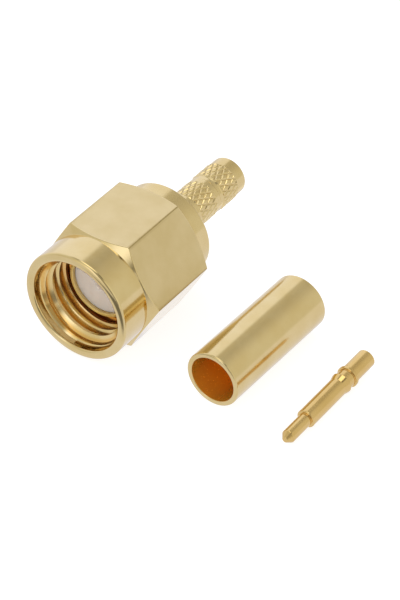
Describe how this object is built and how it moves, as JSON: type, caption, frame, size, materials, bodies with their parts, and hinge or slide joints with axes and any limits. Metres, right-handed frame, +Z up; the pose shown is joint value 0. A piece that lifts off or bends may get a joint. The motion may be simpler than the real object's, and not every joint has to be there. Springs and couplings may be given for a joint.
{
  "type": "coaxial cable plug with crimp ferrule and contact",
  "caption": "Straight threaded coaxial plug for thin cable, gold plated, with a free-turning hexagonal coupling nut, a knurled crimp stem, a loose crimp ferrule and a loose centre contact.",
  "frame": {"origin": "on the connector's axis, in the mating plane, which is the end face of the nose inside the nut", "axes": "+Y along the connector's axis towards the cable, so the mouth faces -Y; +Z up, square to the flat of the nut that the connector lies on; +X towards the loose ferrule and contact"},
  "size_m": [0.0212, 0.0174, 0.008],
  "materials": {
    "gold_plated_brass": "gold plated, polished turned surfaces and satin hexagon flats",
    "insulator_ptfe": "white fluoroplastic, matt and slightly translucent",
    "spring_bronze": "plain spring bronze"
  },
  "bodies": {
    "plug_body": {"connector_body": "gold_plated_brass", "retaining_ring": "spring_bronze", "insulator": "insulator_ptfe", "crimp_ferrule": "gold_plated_brass", "centre_contact": "gold_plated_brass"},
    "nut": {"coupling_nut": "gold_plated_brass"}
  },
  "joints": [
    {"name": "nut_spin", "type": "hinge", "parent": "plug_body", "child": "nut", "pos_m": [0, 0, 0], "axis": [0, 1, 0], "continuous": true}
  ]
}
